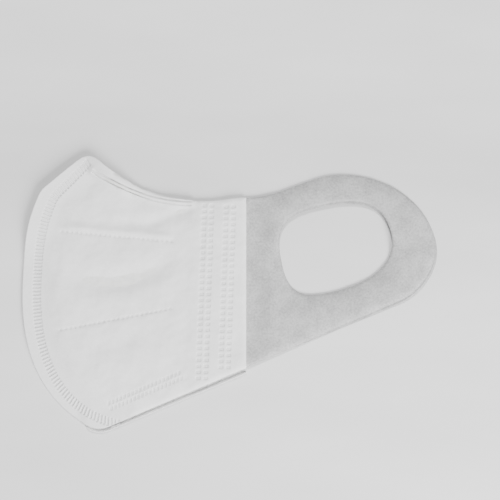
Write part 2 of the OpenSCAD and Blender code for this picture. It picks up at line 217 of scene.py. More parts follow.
side_x = panel[:, 0].max()
front_x = panel[:, 0].min()
on_side = panel[:, 0] > side_x - ON_EDGE
side_foot = panel[on_side, 1].min()
side_head = int(np.where(on_side, panel[:, 1], -np.inf).argmax())
nose_at, chin_at = int(panel[:, 1].argmax()), int(panel[:, 1].argmin())
nose, chin = panel[nose_at], panel[chin_at]
seam_edge = between(panel, nose_at, chin_at)
upper_edge = between(panel, side_head, nose_at)
foot_at = int(np.where(on_side, panel[:, 1], np.inf).argmin())
lower_edge = between(panel, chin_at, foot_at)
CHIN_FRONT = 9  # this much of the seam, up from the chin, belongs to the lower lip
chin_edge = seam_edge[np.hypot(*(seam_edge - chin).T) < CHIN_FRONT]
lip_edge = np.concatenate([chin_edge, lower_edge[1:]])
FLANGE_MARGIN = 0.5  # the welded front reaches this far behind the seam's strip
FLANGE = distance(strips["seam"][0], seam_edge, False).max() + FLANGE_MARGIN
TAB_MARGIN = 1  # the fold is open to its full gap this far ahead of the ear tab
FOLD_RUN = distance(tab, seam_edge, False).min() - TAB_MARGIN - FLANGE


def on_panel(u, v):
    """Place at a distance behind the front of the seam and above the foot of the side edge."""
    return np.array([front_x + u, side_foot + v])


# Soft creases of the cover: route over the panel, depth and half width
CREASES = (
    ([(86, 80), (72, 72.5), (60, 68.5), (38, 69.5)], 1.0, 2.8),
    ([(14, 47.5), (28, 42), (42, 40), (56, 42.5), (74, 50.5)], 2.1, 5.5),
    ([(30, 8), (48, 12), (66, 20)], 0.6, 5),
    ([(36, 92), (48, 86), (62, 80)], 0.9, 5),
)


# Heights of the sheets
WIRE_HOLD = 0.6  # the cover is held down this far round the nose wire
PILLOW_START = 1  # and starts to swell this far ahead of the back of the welded front
LAST_CELL = 1.001  # keeps a place on the far edge of the grid within its last cell


def pillow_grid(pitch=0.75, rounds=2600):
    """Heights from 0 to 1 of a sheet that swells between its welds, on a square grid."""
    low, high = panel.min(0) - pitch, panel.max(0) + pitch
    x, y = np.arange(low[0], high[0], pitch), np.arange(low[1], high[1], pitch)
    points = np.stack(np.meshgrid(x, y, indexing="ij"), -1).reshape(-1, 2)
    held = inside_any(points, [strip for kind in KINDS for strip in strips[kind]])
    held |= inside(points, grown(sheath, WIRE_HOLD))
    held |= distance(points, seam_edge, False) < FLANGE - PILLOW_START
    free = (inside(points, panel) & ~held).reshape(len(x), len(y))
    height = np.zeros((len(x), len(y)))
    for _ in range(rounds):
        around = height[2:, 1:-1] + height[:-2, 1:-1] + height[1:-1, 2:] + height[1:-1, :-2]
        height[1:-1, 1:-1] = np.where(free[1:-1, 1:-1], (around + 1) / 4, 0)
    return low, pitch, height / height.max()


pillow_low, pillow_pitch, pillow_height = pillow_grid()


def pillow(points):
    """Height from 0 to 1 of the swelling at each point."""
    at = (points - pillow_low) / pillow_pitch
    at = np.clip(at, 0, np.array(pillow_height.shape) - LAST_CELL)
    i, j = np.floor(at).astype(int).T
    s, t = (at - np.floor(at)).T
    near = pillow_height[i, j] * (1 - t) + pillow_height[i, j + 1] * t
    far = pillow_height[i + 1, j] * (1 - t) + pillow_height[i + 1, j + 1] * t
    return near * (1 - s) + far * s


def ends_of(strip):
    """The two ends of a straight strip's middle line, front first."""
    sides = np.linalg.norm(np.roll(strip, -1, axis=0) - strip, axis=1)
    short = int(sides.argmin())
    ends = [(strip[(short + i) % 4] + strip[(short + i + 1) % 4]) / 2 for i in (0, 2)]
    return sorted(ends, key=lambda p: p[0])


def along(points, a, b):
    """Share of the way from a to b, and distance to its left, of each point."""
    way = (b - a) / np.linalg.norm(b - a)
    run = (points - a) @ way / np.linalg.norm(b - a)
    return run, (points - a) @ np.array([-way[1], way[0]])


upper_rib, lower_rib = sorted((ends_of(s) for s in strips["rib"]), key=lambda e: -e[0][1])

# Rolls of cloth beside the ribs: height, distance above the rib, half width below that and above it
UPPER_ROLL = (0.85, 1.9, 0.8, 2.3)
LOWER_ROLL = (0.1, -1.7, 1.3, 1.3)
# Grooves along the ribs: depth and half width
UPPER_GROOVE = (0.2, 0.6)
LOWER_GROOVE = (0.16, 0.7)
# Shares of a rib's length by which its relief reaches past each end, and over which it fades there
UPPER_ENDS = ((0.06, 0.2), (0.04, 0.12))
LOWER_ENDS = ((0.04, 0.12), (0.02, 0.1))


def beside_rib(points, rib, roll, groove, ends):
    """A roll of cloth beside a rib and a groove along it, both fading at its ends."""
    run, off = along(points, *rib)
    (before, rise), (past, fall) = ends
    reach = smooth((run + before) / rise) * smooth((1 + past - run) / fall)
    height, place, below, above = roll
    swell = height * bell((off - place) / np.where(off > place, above, below))
    depth, half_width = groove
    return reach * (swell - depth * bell(off / half_width))


def rib_relief(points):
    """A roll of cloth above the upper rib, a low one below the lower rib, and a groove along each."""
    upper = beside_rib(points, upper_rib, UPPER_ROLL, UPPER_GROOVE, UPPER_ENDS)
    return upper + beside_rib(points, lower_rib, LOWER_ROLL, LOWER_GROOVE, LOWER_ENDS)


WIRE_RIDGE = 0.2  # height of the ridge that the nose wire raises in the cover
RIDGE_REACH = 0.3  # it starts this far outside the wire
RIDGE_RISE = 0.9  # and rises over this width


def wire_relief(points):
    """The ridge over the nose wire."""
    foot = grown(sheath, RIDGE_REACH)
    depth = np.where(inside(points, foot), distance(points, foot, True), 0)
    return WIRE_RIDGE * np.sqrt(np.clip(depth / RIDGE_RISE, 0, 1))


CREASE_END = 1.3  # a crease fades out at this many times its half length from its middle


def crease_relief(points):
    """Relief of the soft creases, below zero."""
    relief = np.zeros(len(points))
    for route, depth, width in CREASES:
        line = np.array([on_panel(*p) for p in route])
        middle = (line[0] + line[-1]) / 2
        half = np.linalg.norm(line[-1] - line[0]) / 2
        fade = smooth(CREASE_END - np.hypot(*(points - middle).T) / half)
        relief -= depth * fade * bell(distance(points, line, False) / width)
    return relief


# Waves of the cloth: radians for each millimetre along x and along y, and phase
BROAD_WAVES = ((0.31, 0.17, 0.4), (-0.12, 0.36, 2.1), (0.48, -0.21, 4.4), (0.22, 0.55, 1.3))
CLOSE_WAVES = ((0.93, 0.41, 0.7), (-0.37, 1.06, 3.2), (1.18, -0.62, 5.1), (0.16, 1.31, 1.9))
CLOSE_SHARE = 0.4  # height of the close waves against the broad ones
WANDER = 2.5  # the close waves wander sideways by this much
WANDER_X = (0.21, 0.0)  # radians for each millimetre, and phase
WANDER_Y = (0.17, 1.0)


def waves(x, y, kinds):
    return sum(np.sin(a * x + b * y + phase) for a, b, phase in kinds)


def ripple(points):
    """Gentle unevenness of cloth that has been folded and packed."""
    x, y = points.T
    across = x + WANDER * np.sin(WANDER_X[0] * y + WANDER_X[1])
    up = y + WANDER * np.sin(WANDER_Y[0] * x + WANDER_Y[1])
    height = waves(x, y, BROAD_WAVES) + CLOSE_SHARE * waves(across, up, CLOSE_WAVES)
    return height / len(BROAD_WAVES)


FLANGE_PAST, FLANGE_FADE = 9, 10  # the pressing of the front ends this far behind its weld, over this length
LIP_FADE = 1.5  # width of the very edge
RIM_FLAT, RIM_FADE = 1, 12  # width of the pressed rim, and the length over which it fades
FILTER_LEAST = 0.1  # thickness left to the filter where the sheets are pressed most
WIRE_EASE = 3  # the pressing starts beside the nose wire, over this length
RELIEF_FADE = 6  # creases start behind the welded front, over this length
RIPPLE = 0.3  # height of the cover's unevenness


def pressed(points):
    """How much the welded front and the cut edges are pressed together, but not over the nose wire."""
    seam = distance(points, seam_edge, False)
    edge = distance(points, panel, True)
    flange = FLANGE_THIN * smooth((FLANGE + FLANGE_PAST - seam) / FLANGE_FADE)
    lip = LIP_THIN * (1 - smooth(edge / LIP_FADE))
    rim = RIM_THIN * (1 - smooth((edge - RIM_FLAT) / RIM_FADE))
    off_wire = np.where(inside(points, sheath), 0, distance(points, sheath, True))
    most = STACK - 2 * SKIN - FILTER_LEAST
    return np.minimum(flange + lip + rim, most) * smooth(off_wire / WIRE_EASE)


def cover_top(points, side):
    """Height of the cover above the fold's inner face, weld marks left out."""
    height = STACK - pressed(points)
    if side == "left":
        held = smooth((distance(points, seam_edge, False) - FLANGE) / RELIEF_FADE)
        height = height + PUFF * pillow(points) + rib_relief(points) + wire_relief(points)
        height = height + held * (crease_relief(points) + RIPPLE * ripple(points))
    return height


def opened(points):
    """How far the fold has opened to its full gap, from 0 at the welded front to 1."""
    return np.clip((distance(points, seam_edge, False) - FLANGE) / FOLD_RUN, 0, 1)


CHIN_AHEAD, CHIN_RUN = 12, 7  # the lip starts this far ahead of the chin, and is whole after this length


def past_chin(points):
    """From 0 along the front to 1 from just ahead of the chin on."""
    return smooth((points[:, 0] - chin[0] + CHIN_AHEAD) / CHIN_RUN)


TABLE_GAP = 0.02  # air under the lower half
FRONT_FLAT, FRONT_PAST = 4, 5  # the brow keeps its packed height this far in, and sinks over FLANGE plus this
BROW_FOOT, BROW_RUN = 48, 22  # the brow starts this far above the side edge's foot, over this length
TIP_ROUND = 7  # the curl of the brow spares the tip of the nose
CURL_PAST, CURL_POWER = 2, 1.6  # and ends this far behind the weld, bending most at the edge
TAB_AHEAD, TAB_RUN = 3, 6  # the upper half rises onto the ear tabs ahead of them, over this length
GAP_RUN = 8  # the gap between the halves opens behind the weld, over this length
NOSE_BEHIND, NOSE_WIDTH, NOSE_FADE = 14, 10, 14  # place, half width and depth of the lift beside the nose
CHIN_FADE = 16  # depth of the lift of the lower edge


def bed(points, side):
    """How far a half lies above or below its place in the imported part."""
    seam = distance(points, seam_edge, False)
    flange = 1 - smooth((seam - FRONT_FLAT) / (FLANGE + FRONT_PAST))
    high = smooth((points[:, 1] - on_panel(0, BROW_FOOT)[1]) / BROW_RUN)
    tip = 1 - bell(np.hypot(*(points - nose).T) / TIP_ROUND)
    curl = BROW_LIFT * high * tip * np.clip(1 - seam / (FLANGE + CURL_PAST), 0, 1) ** CURL_POWER
    on_table = TABLE_GAP - pressed(points) - HALF_GAP * (1 - opened(points))
    lower = on_table * (1 - flange * high) + curl
    if side == "right":
        return lower
    over_tab = smooth((points[:, 0] - tab[:, 0].min() + TAB_AHEAD) / TAB_RUN)
    gap = (HALVES_GAP + (TABS_GAP - HALVES_GAP) * over_tab) * smooth((seam - FLANGE) / GAP_RUN)
    beside = bell((points[:, 0] - nose[0] - NOSE_BEHIND) / NOSE_WIDTH)
    beside *= 1 - smooth(distance(points, upper_edge, False) / NOSE_FADE)
    low = past_chin(points) * (1 - smooth(distance(points, lip_edge, False) / CHIN_FADE))
    return lower + gap - 2 * HALF_GAP * opened(points) + NOSE_LIFT * beside + CHIN_LIFT * low


# Meshes
def lattice(loop, step, keep_off):
    """Points at the corners of even triangles within an outline."""
    low, high = loop.min(0), loop.max(0)
    rows = np.arange(low[1], high[1], step * math.sqrt(0.75))
    row = np.arange(low[0], high[0] + step, step)
    made = [np.stack([row + step / 2 * (i % 2), np.full(len(row), y)], 1) for i, y in enumerate(rows)]
    points = np.concatenate(made)
    points = points[inside(points, loop)]
    return points[distance(points, loop, True) > keep_off]


def off_rings(points, rings, keep_off):
    """Points that lie outside each ring by at least a distance."""
    clear = np.ones(len(points), bool)
    for ring in rings:
        clear &= ~inside(points, grown(ring, keep_off))
    return points[clear]


def triangulated(outline, holes, shoulders, filler):
    """Points and triangles of a flat sheet, and which points lie on the edge of a hole."""
    coords, edges = [], []
    for ring in (outline, *holes, *shoulders):
        first, count = len(coords), len(ring)
        coords.extend(ring)
        edges.extend((first + i, first + (i + 1) % count) for i in range(count))
    hole_end = len(outline) + sum(len(hole) for hole in holes)
    coords.extend(filler)
    made = delaunay_2d_cdt([Vector(p) for p in coords], edges, [], 0, MERGE)
    points, triangles = np.array([tuple(p) for p in made[0]]), np.array(made[2])
    corners = points[triangles]
    middles = corners.mean(1)
    way, other = corners[:, 1] - corners[:, 0], corners[:, 2] - corners[:, 0]
    twice_area = np.abs(way[:, 0] * other[:, 1] - way[:, 1] * other[:, 0])
    longest = np.linalg.norm(np.roll(corners, 1, axis=1) - corners, axis=2).max(1)
    kept = inside(middles, outline) & (twice_area > SLIVER * longest)
    for hole in holes:
        kept &= ~inside(middles, hole)
    on_hole = np.array([any(len(outline) <= i < hole_end for i in came) for came in made[3]])
    used, triangles = np.unique(triangles[kept], return_inverse=True)
    return points[used], triangles.reshape(-1, 3), on_hole[used]


def edge_rows(loop):
    """Rows of points just inside an outline, for its rounded edge."""
    rows = [spaced(grown(loop, -inset), EDGE_ROW_STEP) for inset in EDGE_ROWS]
    points = np.concatenate(rows)
    return points[inside(points, loop)]


# Room left between rows of points: shares of a step on plain sheets, millimetres on the cover
OFF_EDGE = 0.6
OFF_HOLE = 0.5
COARSE_OFF_EDGE = 0.4
FINE_OFF_EDGE = 0.3
OFF_SHOULDER = 0.2
WELD_ZONE = 0.7  # the cover's points lie closer this far round the welds
WIRE_ZONE = 1.6  # and round the nose wire


def plain_sheet(loops, step):
    """A sheet with plain cut edges and holes."""
    outline = spaced(loops[0], min(2 * EDGE_STEP, step))
    holes = [spaced(loop, step) for loop in loops[1:]]
    filler = off_rings(lattice(outline, step, step * OFF_EDGE), holes, step * OFF_HOLE)
    return triangulated(outline, holes, [], filler)


def cover_sheet():
    """The cover, with a sloping shoulder round every weld mark."""
    outline = spaced(panel, EDGE_STEP)
    holes = [spaced(spot, MARK_STEP) for kind in KINDS for spot in marks[kind]] + list(nose_lines)
    shoulders = [spaced(grown(spot, SLOPES[kind]), MARK_STEP) for kind in KINDS for spot in marks[kind]]
    shoulders += [grown(line, LINE_SLOPE) for line in nose_lines]
    zones = [grown(strip, WELD_ZONE) for kind in KINDS for strip in strips[kind]]
    zones.append(grown(sheath, WIRE_ZONE))
    coarse = lattice(outline, COVER_STEP, EDGE_ROWS[-1] + COARSE_OFF_EDGE)
    coarse = coarse[~inside_any(coarse, zones)]
    fine = np.concatenate([lattice(zone, WELD_STEP, 0) for zone in zones])
    fine = fine[inside(fine, grown(panel, -EDGE_ROWS[-1] - FINE_OFF_EDGE))]
    rows = edge_rows(panel)
    rows = rows[~inside_any(rows, zones[-1:])]
    filler = off_rings(np.concatenate([rows, coarse, fine]), shoulders, OFF_SHOULDER)
    return triangulated(outline, holes, shoulders, filler)


def join(*sheets):
    """Several sheets, each (points, triangles, loft, thickness), as one."""
    points, triangles, loft, thickness = [], [], [], []
    first = 0
    for sheet in sheets:
        points.append(sheet[0])
        triangles.append(sheet[1] + first)
        loft.append(sheet[2])
        thickness.append(sheet[3])
        first += len(sheet[0])
    return [np.concatenate(part) for part in (points, triangles, loft, thickness)]


def weights(piece, name, values):
    """A vertex group that holds these values as shares of the greatest, which it gives back."""
    group = piece.vertex_groups.new(name=name)
    greatest = float(values.max())
    for i, value in enumerate(values / greatest):
        group.add([i], float(value), "REPLACE")
    return greatest


def raised(piece, name, heights, way):
    """Moves every point along its normal by its own height, or against it."""
    if heights.max() > 0:
        rise = piece.modifiers.new(name, "DISPLACE")
        rise.mid_level = 0
        rise.strength = way * weights(piece, name, heights * MM)
        rise.vertex_group = name


def new_sheet(name, points, z, triangles, shift, loft, thickness, material, soft=True):
    """A cloth piece: a fold surface, shifted to its bed, raised by its loft and given its thickness."""
    mesh = bpy.data.meshes.new(name)
    mesh.from_pydata(np.column_stack([points, z]) * MM, [], triangles.tolist())
    if soft:
        mesh.shade_smooth()
    cut = mesh.uv_layers.new(name="cut_mm")
    corners = np.zeros(len(mesh.loops), int)
    mesh.loops.foreach_get("vertex_index", corners)
    cut.uv.foreach_set("vector", points[corners].astype(np.float32).ravel())
    mesh.materials.append(material)
    piece = bpy.data.objects.new(name, mesh)
    bpy.context.scene.collection.objects.link(piece)
    raised(piece, "Lift", np.maximum(shift, 0), 1)
    raised(piece, "Settle", np.maximum(-shift, 0), -1)
    raised(piece, "Loft", loft, 1)
    body = piece.modifiers.new("Thickness", "SOLIDIFY")
    body.offset = -1
    body.thickness = weights(piece, "Thickness", thickness * MM)
    body.vertex_group = "Thickness"
    return piece


PLY_FLAT, PLY_FADE = 4, 40  # the lower half is askew this far in from its lower edge, fading over this
SHOWN_FLAT, SHOWN_FADE = 1, 5  # and the lip of its cover only this far
LIP_TURN = 0.6  # width of the turned-up rim
FRONT_GAP = 0.002  # air in the fold at the welded front


def lay_lower(points, lip):
    """The lower half lies a little askew, so that its lower edge and the lip of its cover show."""
    run = smooth((points[:, 0] - chin[0]) / (side_x - chin[0]))
    off = distance(points, lip_edge, False)
    drop = (PLY_SHOW[0] + PLY_SHOW[1] * run) * (1 - smooth((off - PLY_FLAT) / PLY_FADE))
    if lip:
        shown = LIP_SHOW[0] + LIP_SHOW[1] * run
        drop = drop + shown * (1 - smooth((off - SHOWN_FLAT) / SHOWN_FADE))
    return points - np.stack([np.zeros(len(points)), drop * past_chin(points)], 1)


def fold_between_halves(piece):
    """Bakes a piece's placement into its mesh points."""
    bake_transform(piece)


def half_sheet(side, name, node, material, sheet, lip=False):
    """A piece of one half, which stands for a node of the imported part."""
    points, triangles, loft, thickness = sheet
    way = SIDES[side]
    z = FOLD_Z + way * (FRONT_GAP + (HALF_GAP - FRONT_GAP) * opened(points))
    shift = way * bed(points, side)
    if way < 0:
        if lip:
            turned_up = 1 - smooth(distance(points, lip_edge, False) / LIP_TURN)
            shift = shift - LIP_LIFT * past_chin(points) * turned_up
        points, triangles = lay_lower(points, lip), triangles[:, ::-1]
    soft = material is not WELD
    piece = new_sheet(f"{side}_{name}", points, z, triangles, shift, loft, thickness, material, soft)
    fold_between_halves(piece)
    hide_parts(f"{side}_{node}")
    return piece


# Finishes
def shader_group(name, inputs, outputs):
    """An empty node group with named number inputs and outputs."""
    group = bpy.data.node_groups.new(name, "ShaderNodeTree")
    for socket, value in inputs.items():
        made = group.interface.new_socket(socket, in_out="INPUT", socket_type="NodeSocketFloat")
        made.default_value = value
    for socket in outputs:
        group.interface.new_socket(socket, in_out="OUTPUT", socket_type="NodeSocketFloat")
    return group


def feed(tree, node, **inputs):
    """Sets a node's inputs to values, or links them to other nodes' outputs."""
    for name, value in inputs.items():
        socket = node.inputs[int(name[1:])] if name[0] == "_" else node.inputs[name.replace("_", " ")]
        if isinstance(value, bpy.types.NodeSocket):
            tree.links.new(value, socket)
        else:
            socket.default_value = value


def add(tree, kind, settings=None, **inputs):
    """A new node with its settings and inputs."""
    node = tree.nodes.new(kind)
    for name, value in (settings or {}).items():
        setattr(node, name, value)
    feed(tree, node, **inputs)
    return node


def calc(tree, operation, a, b=0.0, c=0.0):
    return add(tree, "ShaderNodeMath", {"operation": operation}, _0=a, _1=b, _2=c).outputs[0]


def times(tree, a, b):
    return calc(tree, "MULTIPLY", a, b)


def vector(tree, operation, a, **inputs):
    """First output of a vector calculation."""
    return add(tree, "ShaderNodeVectorMath", {"operation": operation}, _0=a, **inputs).outputs[0]


def turned(tree, place, degrees, centre=(0, 0, 0)):
    """A place turned about the sheet's upright axis."""
    settings = {"rotation_type": "Z_AXIS"}
    angle = math.radians(degrees)
    return add(tree, "ShaderNodeVectorRotate", settings, Vector=place, Center=centre, Angle=angle).outputs[0]


def noise(tree, place, **inputs):
    return add(tree, "ShaderNodeTexNoise", Vector=place, **inputs).outputs[0]


def mapped(tree, value, low, high, to_low=0.0, to_high=1.0):
    """A value stretched from one range to another."""
    node = add(tree, "ShaderNodeMapRange", _0=value, _1=low, _2=high, _3=to_low, _4=to_high)
    return node.outputs[0]


def cut_place(tree):
    """Place on the flat cut sheet, in millimetres."""
    return add(tree, "ShaderNodeUVMap", {"uv_map": "cut_mm"}).outputs[0]


FIBRE_ANGLES = (14, 76, 137)
FIBRE_SHIFT = (17, 31, 0)  # keeps the crossing sets of fibres from meeting in one place
BOND_ANGLE = 45
BOND_RIM = 0.6  # share of a bond point's size that is pressed all the way


def laid_fibres():
    """Cloudy density and crossing fibres of a nonwoven."""
    sizes = {"Cloud Size": 1.6, "Fibre Width": 0.12, "Fibre Length": 2.5}
    tree = shader_group("Laid Fibres", sizes, ("Cloud", "Fibre"))
    given = tree.nodes.new("NodeGroupInput").outputs
    place = cut_place(tree)
    fine = calc(tree, "DIVIDE", 1.0, given["Cloud Size"])
    cloud = noise(tree, place, Scale=fine, Detail=5.0, Roughness=0.62)
    along_fibre = calc(tree, "DIVIDE", 1.0, given["Fibre Length"])
    across_fibre = calc(tree, "DIVIDE", 1.0, given["Fibre Width"])
    stretch = add(tree, "ShaderNodeCombineXYZ", _0=along_fibre, _1=across_fibre, _2=1.0).outputs[0]
    fibre = 0.0
    for i, angle in enumerate(FIBRE_ANGLES):
        centre = [i * shift for shift in FIBRE_SHIFT]
        drawn = vector(tree, "MULTIPLY", turned(tree, place, angle, centre), _1=stretch)
        line = noise(tree, drawn, Scale=1.0, Detail=1.0, Distortion=0.6)
        fibre = calc(tree, "MAXIMUM", fibre, mapped(tree, line, 0.5, 0.72))
    end = tree.nodes.new("NodeGroupOutput")
    feed(tree, end, Cloud=mapped(tree, cloud, 0.3, 0.7), Fibre=fibre)
    return tree


def bond_points():
    """Even diamond rows of small points where a spunbond sheet was calendered."""
    tree = shader_group("Bond Points", {"Pitch": 1.1, "Point Size": 0.3}, ("Point",))
    given = tree.nodes.new("NodeGroupInput").outputs
    fine = calc(tree, "DIVIDE", 1.0, given["Pitch"])
    cells = vector(tree, "SCALE", turned(tree, cut_place(tree), BOND_ANGLE), Scale=fine)
    middle = vector(tree, "SUBTRACT", vector(tree, "FRACTION", cells), _1=(0.5, 0.5, 0))
    flat = vector(tree, "MULTIPLY", middle, _1=(1, 1, 0))
    off = add(tree, "ShaderNodeVectorMath", {"operation": "LENGTH"}, _0=flat).outputs["Value"]
    point = mapped(tree, off, given["Point Size"], times(tree, given["Point Size"], BOND_RIM))
    feed(tree, tree.nodes.new("NodeGroupOutput"), Point=point)
    return tree


FIBRES = laid_fibres()
BONDS = bond_points()


def placed(tree, group, **values):
    """Outputs of a node group with these values."""
    node = tree.nodes.new("ShaderNodeGroup")
    node.node_tree = group
    feed(tree, node, **values)
    return node.outputs


def tint(tree, share, low, high):
    """A colour between two shades."""
    node = add(tree, "ShaderNodeMix", {"data_type": "RGBA"}, _0=share, _6=(*low, 1), _7=(*high, 1))
    return node.outputs[2]


def grey(value):
    return (value, value, value)


def bumped(tree, height, strength, reach):
    """A normal for a fine relief of so many millimetres."""
    return add(tree, "ShaderNodeBump", Strength=strength, Distance=reach * MM, Height=height).outputs[0]


def new_finish(name):
    material = bpy.data.materials.new(name)
    material.use_nodes = True
    return material, material.node_tree, material.node_tree.nodes["Principled BSDF"]


def spunbond(name, dark, light, cloud_size, point_depth):
    """White calendered nonwoven: faint clouds, fibres and pressed points."""
    material, tree, shader = new_finish(name)
    fibres = placed(tree, FIBRES, Cloud_Size=cloud_size, Fibre_Width=0.1, Fibre_Length=2.2)
    point = placed(tree, BONDS, Pitch=0.95, Point_Size=0.27)["Point"]
    density = calc(tree, "MULTIPLY_ADD", fibres["Cloud"], 0.75, 0.12)
    shade = calc(tree, "SUBTRACT", density, times(tree, point, 0.22))
    pile = calc(tree, "ADD", times(tree, fibres["Fibre"], 0.5), fibres["Cloud"])
    height = calc(tree, "SUBTRACT", pile, times(tree, point, point_depth))
    feed(
        tree,
        shader,
        Base_Color=tint(tree, shade, dark, light),
        Roughness=mapped(tree, point, 0, 1, 0.86, 0.62),
        Sheen_Weight=0.12,
        Sheen_Roughness=0.6,
        Specular_IOR_Level=0.3,
        Normal=bumped(tree, height, 0.3, 0.06),
    )
    return material


def meltblown(name):
    """Soft fine filter web without bond points."""
    material, tree, shader = new_finish(name)
    fibres = placed(tree, FIBRES, Cloud_Size=2.4, Fibre_Width=0.05, Fibre_Length=0.9)
    feed(
        tree,
        shader,
        Base_Color=tint(tree, fibres["Cloud"], (0.74, 0.74, 0.73), (0.85, 0.85, 0.84)),
        Roughness=mapped(tree, fibres["Fibre"], 0, 1, 0.95, 0.85),
        Sheen_Weight=0.2,
        Normal=bumped(tree, calc(tree, "ADD", fibres["Cloud"], fibres["Fibre"]), 0.4, 0.08),
    )
    return material


def stretch_sheet(name):
    """Grey-white stretch nonwoven with long fibres and cloudy density, a little see-through."""
    material, tree, shader = new_finish(name)
    fibres = placed(tree, FIBRES, Cloud_Size=1.0, Fibre_Width=0.16, Fibre_Length=3.2)
    broad = placed(tree, FIBRES, Cloud_Size=8.0, Fibre_Width=0.4, Fibre_Length=6.0)
    clouds = calc(tree, "ADD", times(tree, fibres["Cloud"], 0.5), times(tree, broad["Cloud"], 0.5))
    density = calc(tree, "ADD", clouds, times(tree, fibres["Fibre"], 0.14))
    feed(
        tree,
        shader,
        Base_Color=tint(tree, density, grey(0.4), grey(0.6)),
        Alpha=mapped(tree, density, 0.2, 0.8, 0.6, 0.8),
        Roughness=mapped(tree, fibres["Fibre"], 0, 1, 0.9, 0.7),
        Sheen_Weight=0.15,
        Specular_IOR_Level=0.3,
        Normal=bumped(tree, calc(tree, "ADD", fibres["Fibre"], fibres["Cloud"]), 0.35, 0.08),
    )
    return material


def fused_weld(name):
    """Nonwoven melted to a film: greyer, smoother and faintly grained."""
    material, tree, shader = new_finish(name)
    cloud = placed(tree, FIBRES, Cloud_Size=0.6, Fibre_Width=0.12, Fibre_Length=0.8)["Cloud"]
    feed(
        tree,
        shader,
        Base_Color=tint(tree, cloud, grey(0.69), grey(0.78)),
        Roughness=mapped(tree, cloud, 0, 1, 0.42, 0.6),
        Normal=bumped(tree, cloud, 0.25, 0.03),
    )
    return material


def drawn_wire(name, dark, light, roughness, grain, metallic):
    """Plastic or steel with draw lines: a grain of (cloud size, line width, line length, depth)."""
    material, tree, shader = new_finish(name)
    cloud_size, width, length, depth = grain
    fibres = placed(tree, FIBRES, Cloud_Size=cloud_size, Fibre_Width=width, Fibre_Length=length)
    feed(
        tree,
        shader,
        Base_Color=tint(tree, fibres["Cloud"], dark, light),
        Roughness=mapped(tree, fibres["Fibre"], 0, 1, *roughness),
        Metallic=metallic,
        Normal=bumped(tree, fibres["Fibre"], 0.2, depth),
    )
    return material


COVER = spunbond("cover_spunbond", grey(0.78), grey(0.86), 1.7, 0.7)
LINING = spunbond("lining_spunbond", (0.78, 0.78, 0.77), (0.85, 0.85, 0.84), 2.2, 0.5)
FILTER = meltblown("filter_meltblown")
EAR = stretch_sheet("ear_stretch_sheet")
WELD = fused_weld("fused_weld")
SHEATH = drawn_wire(
    "wire_sheath", (0.76, 0.76, 0.74), (0.84, 0.84, 0.82), (0.38, 0.52), (1.2, 0.08, 9.0, 0.02), 0
)
STEEL = drawn_wire(
    "wire_steel", (0.42, 0.43, 0.44), (0.58, 0.59, 0.6), (0.28, 0.45), (0.8, 0.04, 6.0, 0.01), 1
)


# Pieces of each half
DEEP_FOOT, DEEP_RUN = 78, 8  # the seam's marks grow deeper this far above the side edge's foot
DEEPER = 0.7  # by this share of their depth
MARK_REACH = 0.05  # a weld mark's floor reaches this far under the cover around it
MARK_DIP = 0.02  # and the cover's edge dips this far below it
PAD_THICK = 0.25  # thickness of a mark's floor
PAD_LEAST = 0.05  # its least height above the fold
FILTER_SLACK = 0.1  # air between the filter and the cover, beside the gap between plies
STRIP_FLOOR = 0.08  # height of a weld strip's lower face above the gap at the fold
STRIP_LEAST = 0.12  # and the least height of its upper face
LINE_REACH = 0.04  # the nose welds' reach under the cover
LINE_FLOOR = 0.05  # and the height of their lower face above that gap


def even(points, value):
    return np.full(len(points), value)


def depth_of(kind, points):
    """Depth of a kind of weld mark, the seam's being deeper on the brow."""
    brow = smooth((points[:, 1] - on_panel(0, DEEP_FOOT)[1]) / DEEP_RUN) if kind == "seam" else 0
    return DEPTHS[kind] * (1 + DEEPER * brow)


def mark_depth(points):
    """Depth below the cover of each point that lies on the edge of a weld mark."""
    depth = even(points, LINE_DEPTH)
    for kind in KINDS:
        on_kind = inside_any(points, [grown(spot, MARK_REACH) for spot in marks[kind]])
        depth[on_kind] = depth_of(kind, points[on_kind])
    return depth


def make_cover(side):
    points, triangles, on_mark = cover_sheet()
    loft = cover_top(points, side) - np.where(on_mark, mark_depth(points) + MARK_DIP, 0)
    sheet = (points, triangles, np.maximum(loft, 0), even(points, SKIN))
    return half_sheet(side, "cover_sheet", "outer_cover", COVER, sheet, True)


def make_filter(side):
    points, triangles, _ = plain_sheet(face_loops(["left_filter_web"], False), INNER_STEP)
    under_cover = cover_top(points, side) - SKIN - PLY_GAP - FILTER_SLACK
    top = np.maximum(under_cover, SKIN + 3 * PLY_GAP)
    sheet = (points, triangles, top, top - SKIN - 2 * PLY_GAP)
    return half_sheet(side, "filter_sheet", "filter_web", FILTER, sheet)


def make_lining(side):
    points, triangles, _ = plain_sheet(face_loops(["left_lining"], False), INNER_STEP)
    sheet = (points, triangles, even(points, SKIN + PLY_GAP), even(points, SKIN))
    return half_sheet(side, "lining_sheet", "lining", LINING, sheet)


def weld_pads(kind, side):
    """Fused floors of the weld marks."""
    pads = []
    for loop in marks[kind]:
        outline = spaced(grown(loop, MARK_REACH), MARK_STEP)
        points, triangles, _ = triangulated(outline, [], [], [outline.mean(0)])
        top = np.maximum(cover_top(points, side) - depth_of(kind, points), PAD_LEAST)
        pads.append((points, triangles, top, np.minimum(PAD_THICK, top)))
    return pads


def weld_strips(kind, side):
    """Fused bands through the inner plies."""
    bands = []
    for loop in strips[kind]:
        points, triangles, _ = plain_sheet([loop], STRIP_STEP)
        under_cover = cover_top(points, side) - SKIN - depth_of(kind, points)
        top = np.maximum(under_cover, PLY_GAP + STRIP_LEAST)
        bands.append((points, triangles, top, top - PLY_GAP - STRIP_FLOOR))
    return bands


def make_weld(side, kind):
    sheet = join(*weld_pads(kind, side), *weld_strips(kind, side))
    half_sheet(side, f"{kind}_film", f"{kind}_weld", WELD, sheet, True)


